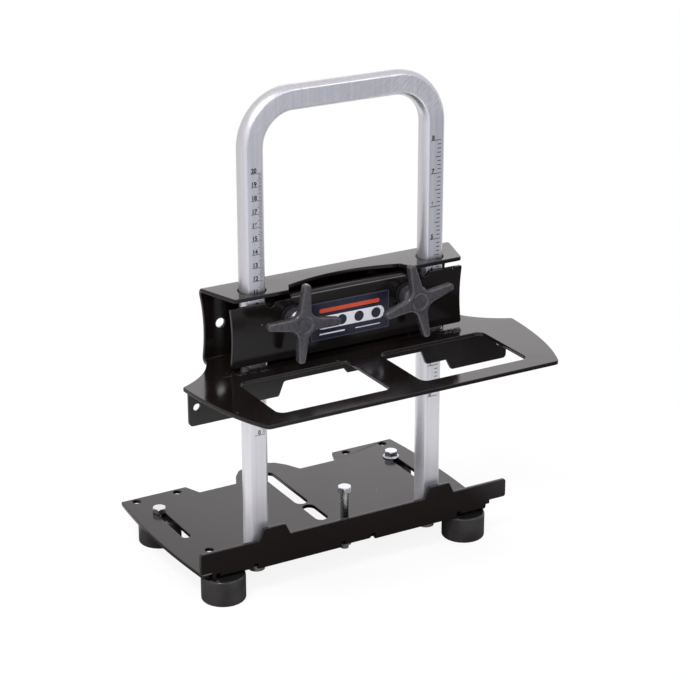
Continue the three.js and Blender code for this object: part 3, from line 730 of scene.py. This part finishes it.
# %% A weld bead
DECK_OVER_SKIRT = 3.3
DECK_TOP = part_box("guide_skirt")[1].z / MM + DECK_OVER_SKIRT
SINK = 0.15
BEAD_COLUMNS = 8
STEPS_PER_RIPPLE = 6
FEWEST_STEPS = 12
RIPPLE_DEPTH = 0.28
RIPPLE_LEAN = 0.35
END_BLUNTNESS = 6


def weld_bead(shape, start, end, width, height, ripple):
    """A rippled bead on the deck from one place to another, in millimetres."""
    along = Vector(end) - Vector(start)
    across = Vector((-along.y, along.x)).normalized()
    steps = max(FEWEST_STEPS, round(along.length / ripple * STEPS_PER_RIPPLE))
    rows = []
    for step in range(steps + 1):
        share = step / steps
        drop = (share * along.length / ripple) % 1
        end_fade = math.sqrt(max(0.0, 1 - (2 * share - 1) ** END_BLUNTNESS))
        swell = (1 - RIPPLE_DEPTH + RIPPLE_DEPTH * math.sin(math.pi * drop)) * end_fade
        row = []
        for column in range(BEAD_COLUMNS + 1):
            side = 2 * column / BEAD_COLUMNS - 1
            lean = RIPPLE_LEAN * ripple * (1 - side * side)
            spot = Vector(start) + along * share + across * side * width / 2 * swell
            spot += along.normalized() * lean
            rise = height * swell * math.sqrt(max(0.0, 1 - side * side)) - SINK
            row.append(shape.verts.new(at(spot.x, spot.y, DECK_TOP + rise)))
        rows.append(row)
    for row, following in zip(rows, rows[1:]):
        for column in range(BEAD_COLUMNS):
            after = column + 1
            shape.faces.new((row[column], row[after], following[after], following[column]))


print(f"deck top at {DECK_TOP:.1f} mm")

# %% [markdown]
# Small drops of spatter lie round the seams. A particle system could throw them, but a few dozen are
# quicker to place with random numbers, and with a fixed seed they fall the same way each time.

# %% Spatter
SMALLEST_DROP = 0.25
LARGEST_DROP = 0.6
DROP_LIFT = 0.2
dice = random.Random(7)


def spatter(shape, centre, reach, count):
    """Tiny frozen drops on the deck round a place, in millimetres."""
    for _ in range(count):
        size = dice.uniform(SMALLEST_DROP, LARGEST_DROP)
        x = centre[0] + dice.uniform(-1, 1) * reach[0]
        y = centre[1] + dice.uniform(-1, 1) * reach[1]
        drop = bmesh.ops.create_icosphere(shape, subdivisions=2, radius=size * MM)
        for vertex in drop["verts"]:
            vertex.co += at(x, y, DECK_TOP + DROP_LIFT * size)


print(f"drops of {SMALLEST_DROP} to {LARGEST_DROP} mm")

# %% [markdown]
# The left seam is a row of four short beads, and the right one is broad, with a thin tail. Each bead has
# its start and end on the deck, its width, its height and the length of a ripple. All of it was painted
# with the rest, so it wears the black coat.

# %% Weld seams
LEFT_BEADS = [
    ((-107, -14.2), (-99.5, -15), 2.4, 0.7, 1.9),
    ((-97, -15.4), (-89, -16.6), 2.8, 0.9, 2.1),
    ((-87, -16.6), (-81, -17.2), 2.2, 0.6, 1.8),
    ((-79, -17.2), (-72, -17.8), 2.6, 0.9, 2.0),
]
RIGHT_BEADS = [
    ((74.5, -18.2), (89, -17.6), 5.0, 1.5, 5.2),
    ((82, -20.6), (91, -19.6), 3.6, 1.3, 4.4),
    ((92, -17), (113, -15.8), 2.0, 0.18, 2.3),
]


def weld_seam(name, beads, centre, reach, count):
    """A row of beads and the spatter round it, as a piece that moves with the carriage."""
    shape = bmesh.new()
    for bead in beads:
        weld_bead(shape, *bead)
    spatter(shape, centre, reach, count)
    bmesh.ops.recalc_face_normals(shape, faces=shape.faces)
    mesh = bpy.data.meshes.new(name)
    shape.to_mesh(mesh)
    shape.free()
    for polygon in mesh.polygons:
        polygon.use_smooth = True
    mesh.materials.append(black_coat)
    print(f"{name}: {len(beads)} beads and {count} drops")
    return new_piece(name, mesh, "carriage", "black_paint")


weld_seam("deck_weld_left", LEFT_BEADS, centre=(-92, -16), reach=(22, 7), count=26)
weld_seam("deck_weld_right", RIGHT_BEADS, centre=(84, -19), reach=(12, 5), count=12)

# %% [markdown]
# ## Label
# The clamp plate carries a printed film. It stays generic here: a navy field with a thin silver border, a
# warm stripe, and a white band with plain dark discs. The film is a thin solid of its own in the frame,
# so it is copied like the sheet metal. The inks differ in colour, and a little in how they shine.

# %% Label film
def label_ink(name, colour, roughness, shine):
    """A printed colour with faint scuffs a centimetre wide."""
    return clouded_finish(name, colour, roughness, waves=90, shine=shine)


label_blue = label_ink("label_blue", (0.009, 0.01, 0.024), roughness=0.3, shine=(0.24, 0.38))
label_red = label_ink("label_red", (0.6, 0.07, 0.025), roughness=0.35, shine=(0.3, 0.42))
label_white = label_ink("label_white", (0.78, 0.78, 0.8), roughness=0.35, shine=(0.3, 0.42))
label_silver = label_ink("label_silver", (0.1, 0.1, 0.12), roughness=0.3, shine=(0.26, 0.4))
fine_copy("label_plate", width=0.1 * MM, material=label_blue)
label_low, label_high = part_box("label_plate")
print(f"label {(label_high.x - label_low.x) / MM:.1f} by {(label_high.z - label_low.z) / MM:.1f} mm")

# %% [markdown]
# The print could be painted into the film's material with masks, but shapes stay sharp at any distance
# and are easier to place. Every shape of this label is a rectangle with round corners, even the discs.

# %% Outlines on the label
CORNER_STEPS = 8


def round_outline(left, right, low, high, corner):
    """Points of a rectangle with round corners, in millimetres from the label's lower left corner."""
    centres = [(right - corner, high - corner), (left + corner, high - corner),
               (left + corner, low + corner), (right - corner, low + corner)]
    points = []
    for quarter, (x, z) in enumerate(centres):
        for step in range(CORNER_STEPS + 1):
            angle = math.radians(90 * (quarter + step / CORNER_STEPS))
            points.append((x + corner * math.cos(angle), z + corner * math.sin(angle)))
    return points


print(f"{4 * (CORNER_STEPS + 1)} points in an outline")

# %% [markdown]
# An outline becomes a flat face. The shapes lie on the film in thin layers, a twentieth of a millimetre
# apart, because two faces in the same place would flicker. The border is the one shape with a hole, so
# it is built from narrow faces between an outer and an inner outline.

# %% Shapes on the label
LAYER = 0.05 * MM


def label_verts(shape, points, layer):
    """Vertices for such points, on one of the thin layers in front of the film."""
    front = label_low.y - layer * LAYER
    return [shape.verts.new((label_low.x + x * MM, front, label_low.z + z * MM)) for x, z in points]


def label_shape(name, material, layer, outlines, inner=None):
    """A print on the label: filled outlines, or a ring between an outline and an inner one."""
    shape = bmesh.new()
    for points in outlines:
        verts = label_verts(shape, points, layer)
        if inner is None:
            shape.faces.new(verts)
            continue
        inside = label_verts(shape, inner, layer)
        for index in range(len(verts)):
            after = (index + 1) % len(verts)
            shape.faces.new((verts[index], verts[after], inside[after], inside[index]))
    mesh = bpy.data.meshes.new(name)
    shape.to_mesh(mesh)
    shape.free()
    mesh.materials.append(material)
    print(f"{name}: {len(mesh.polygons)} faces")
    return new_piece(name, mesh, "clamp", "label_film")


print(f"prints lie {LAYER / MM:.2f} mm apart")

# %% [markdown]
# Each outline below gives the left, right, low and high side and the corner's radius. The discs are
# squares whose corners are as large as they can be, and they lie one layer above the white band.

# %% Prints on the label
DISC_RADIUS = 4.0
DISC_MIDDLES = (12, 26.5, 41, 55.5)
border_outside = round_outline(0.6, 66.4, 0.6, 29.4, 1.2)
border_inside = round_outline(0.9, 66.1, 0.9, 29.1, 0.9)
stripe = round_outline(7.5, 58.5, 21.4, 24.6, 1.2)
band = round_outline(5.5, 62.5, 8.6, 18.6, 4.6)
discs = [
    round_outline(middle - DISC_RADIUS, middle + DISC_RADIUS, 9.6, 17.6, DISC_RADIUS)
    for middle in DISC_MIDDLES
]
rules = [round_outline(7.5, 29, 4.3, 5.4, 0.5), round_outline(38, 59, 4.3, 5.0, 0.3)]
label_shape("label_border", label_silver, 1, [border_outside], border_inside)
label_shape("label_stripe", label_red, 1, [stripe])
label_shape("label_band", label_white, 1, [band])
label_shape("label_discs", label_blue, 2, discs)
label_shape("label_rules", label_white, 1, rules)

# %% [markdown]
# ## Studio
# The mill stands on a white table. A large plane would do, but its far edge or its shading could show
# against the white behind it. A disc that is only a little larger than the mill has no such horizon.

# %% Floor
FLOOR_RADIUS = 0.42
floor_mesh = bpy.data.meshes.new("floor")
floor_shape = bmesh.new()
bmesh.ops.create_circle(floor_shape, cap_ends=True, segments=128, radius=FLOOR_RADIUS)
floor_shape.to_mesh(floor_mesh)
floor_shape.free()
floor = bpy.data.objects.new("floor", floor_mesh)
scene.collection.objects.link(floor)
print(f"floor {2 * FLOOR_RADIUS} m across")

# %% [markdown]
# What the metal mirrors is a pale table with a painted shadow in its middle: a darker floor colour stands
# in for the shade where the mill keeps the light off the table under and before it. A helper gives the
# camera a colour of its own, so that the camera sees plain white instead. The middle is a soft-edged
# rectangle: the distances from the middle along X and Y, in metres, are taken without their signs, and
# each fades out at its own edge.

# %% Tone of the floor
FLOOR_WHITE = (0.85, 0.85, 0.85)
OPEN_TABLE = (0.9, 0.9, 0.89)
PAINTED_SHADOW_UNDER_MILL = (0.2, 0.18, 0.17)
SHADE_ENDS_X = (0.15, 0.2)
SHADE_ENDS_Y = (0.12, 0.145)


def camera_colour(tree, camera_ray, others, colour):
    """A plain colour for the camera, and another one, which may vary, for all other rays."""
    node = tree.nodes.new("ShaderNodeMix")
    node.data_type = "RGBA"
    node.inputs["B"].default_value = (*colour, 1)
    tree.links.new(camera_ray, node.inputs["Factor"])
    tree.links.new(others, node.inputs["A"])
    return node.outputs["Result"]


white_floor, tree, shader, place = finish("white_floor", FLOOR_WHITE, roughness=0.9)
shader.inputs["Specular IOR Level"].default_value = 0
offset = tree.nodes.new("ShaderNodeVectorMath")
offset.operation = "SUBTRACT"
offset.inputs[1].default_value = at(0, 0, 0)
tree.links.new(place, offset.inputs[0])
distance = tree.nodes.new("ShaderNodeVectorMath")
distance.operation = "ABSOLUTE"
tree.links.new(offset.outputs["Vector"], distance.inputs[0])
sides = axes_of(tree, distance.outputs["Vector"])
under_x = spread(tree, sides["X"], SHADE_ENDS_X, (1, 0))
under_y = spread(tree, sides["Y"], SHADE_ENDS_Y, (1, 0))
# The darker middle is painted shadow, and only rays other than the camera's see it.
tone = blend_colours(tree, product(tree, under_x, under_y), OPEN_TABLE, PAINTED_SHADOW_UNDER_MILL)
floor_camera_ray = tree.nodes.new("ShaderNodeLightPath").outputs["Is Camera Ray"]
floor_colour = camera_colour(tree, floor_camera_ray, tone, FLOOR_WHITE)
tree.links.new(floor_colour, shader.inputs["Base Color"])
print("floor tone ready")

# %% [markdown]
# The camera has to see the table nearly as bright as the white behind it, and still find the mill's soft
# shadow there. So most of what it sees is the floor's own glow, and the rest is real light with the
# shadow in it. Nothing but the camera sees the glow.

# %% Glow of the floor
GLOW_SHARE = 0.85
GLOW_LEVEL = 1.04
glow = tree.nodes.new("ShaderNodeEmission")
glow.inputs["Color"].default_value = (1, 1, 1, 1)
glow.inputs["Strength"].default_value = GLOW_LEVEL
mix = tree.nodes.new("ShaderNodeMixShader")
tree.links.new(spread(tree, floor_camera_ray, (0, 1), (0, GLOW_SHARE)), mix.inputs["Fac"])
tree.links.new(shader.outputs["BSDF"], mix.inputs[1])
tree.links.new(glow.outputs["Emission"], mix.inputs[2])
tree.links.new(mix.outputs["Shader"], tree.nodes["Material Output"].inputs["Surface"])
floor.data.materials.append(white_floor)
print(f"floor glow {GLOW_SHARE} of {GLOW_LEVEL}")

# %% [markdown]
# ## Room
# Black gloss and bare metal show little of their own: they show the room. A photographed room would need
# an image, and walls and panels would need many objects. So the room is drawn into the world's light by
# direction. Two helpers do that: one mixes values, and one makes a soft round patch of light.

# %% Room light
world = bpy.data.worlds.new("room")
scene.world = world
world.use_nodes = True
tree = world.node_tree
background = tree.nodes["Background"]
direction = tree.nodes.new("ShaderNodeTexCoord").outputs["Generated"]
axes = axes_of(tree, direction)


def blend_levels(share, first, second):
    """A value between two, by a share; each of them is a number or comes from a node."""
    node = tree.nodes.new("ShaderNodeMix")
    for socket, value in [("Factor", share), ("A", first), ("B", second)]:
        if isinstance(value, float):
            node.inputs[socket].default_value = value
        else:
            tree.links.new(value, node.inputs[socket])
    return node.outputs["Result"]


def panel_light(aim, edge, level):
    """A soft round patch of light around a direction, with its edge given as an angle in degrees."""
    node = tree.nodes.new("ShaderNodeVectorMath")
    node.operation = "DOT_PRODUCT"
    node.inputs[1].default_value = Vector(aim).normalized()
    tree.links.new(direction, node.inputs[0])
    return spread(tree, node.outputs["Value"], (math.cos(math.radians(edge)), 1), (0, level))


print("room helpers ready")

# %% [markdown]
# The room is pale all round and a bit brighter in front, where a dark card stands on the right, as
# photographers place one to keep black things black. A bright panel stands low behind the mill on the
# right, which is what the top faces mirror at a low angle. A smaller one stands in front, above the
# card, where only the rounded upper edges find it and draw their thin lines. A direction has a length of
# one, so each pair of numbers is a soft edge on that scale.

# %% Room light by direction
BACK_LEVEL = 0.75
FRONT_LEVEL = 0.86
CARD_LEVEL = 0.2
FRONT_STARTS = (-0.45, 0.1)
CARD_LEFT = (0.41, 0.48)
CARD_RIGHT = (0.72, 0.84)
CARD_TOP = (0.45, 0.6)
PANELS = [
    {"aim": (0.51, 0.81, 0.27), "edge": 17, "level": 1.2},
    {"aim": (0.47, -0.6, 0.67), "edge": 10, "level": 6},
]
frontness = spread(tree, axes["Y"], FRONT_STARTS, (1, 0))
right_of_edge = spread(tree, axes["X"], CARD_LEFT, (0, 1))
left_of_edge = spread(tree, axes["X"], CARD_RIGHT, (1, 0))
below_edge = spread(tree, axes["Z"], CARD_TOP, (1, 0))
card = product(tree, product(tree, right_of_edge, left_of_edge), below_edge)
front_light = spread(tree, card, (0, 1), (FRONT_LEVEL, CARD_LEVEL))
room_light = blend_levels(frontness, BACK_LEVEL, front_light)
for panel in PANELS:
    room_light = total(tree, room_light, panel_light(**panel))
print(f"room with {len(PANELS)} panels")

# %% [markdown]
# The light is a bit warmer behind and cooler in front, which keeps the aluminium from looking yellow.
# The camera itself sees none of this, only plain white.

# %% Room colour
WARM = (1.0, 0.965, 0.985)
COOL = (0.96, 0.97, 1.06)
WHITE = (1, 1, 1)
camera_ray = tree.nodes.new("ShaderNodeLightPath").outputs["Is Camera Ray"]
tree.links.new(blend_levels(camera_ray, room_light, 1.0), background.inputs["Strength"])
tint = blend_colours(tree, frontness, WARM, COOL)
tree.links.new(camera_colour(tree, camera_ray, tint, WHITE), background.inputs["Color"])
print("room ready")

# %% [markdown]
# ## Lamp
# The room alone would leave the mill without a side that the light comes from. A small square lamp high
# on the left adds the sharp glints and the shadow on the table. It is weak, so that no pale surface
# turns plain white.

# %% Lamp
LAMP_PLACE = Vector((-0.9, -0.6, 1.65))
LAMP_AIM = at(0, 0, 190)
lamp_data = bpy.data.lights.new("softbox_left", "AREA")
lamp_data.size = 0.5
lamp_data.energy = 18
lamp = bpy.data.objects.new("softbox_left", lamp_data)
lamp.location = LAMP_PLACE
lamp.rotation_euler = (LAMP_AIM - LAMP_PLACE).to_track_quat("-Z", "Y").to_euler()
scene.collection.objects.link(lamp)
print(f"lamp {(LAMP_AIM - LAMP_PLACE).length:.2f} m away")

# %% [markdown]
# ## Finish
# Standard colour management shows each colour as it was written.

# %% Finish
scene.view_settings.view_transform = "Standard"
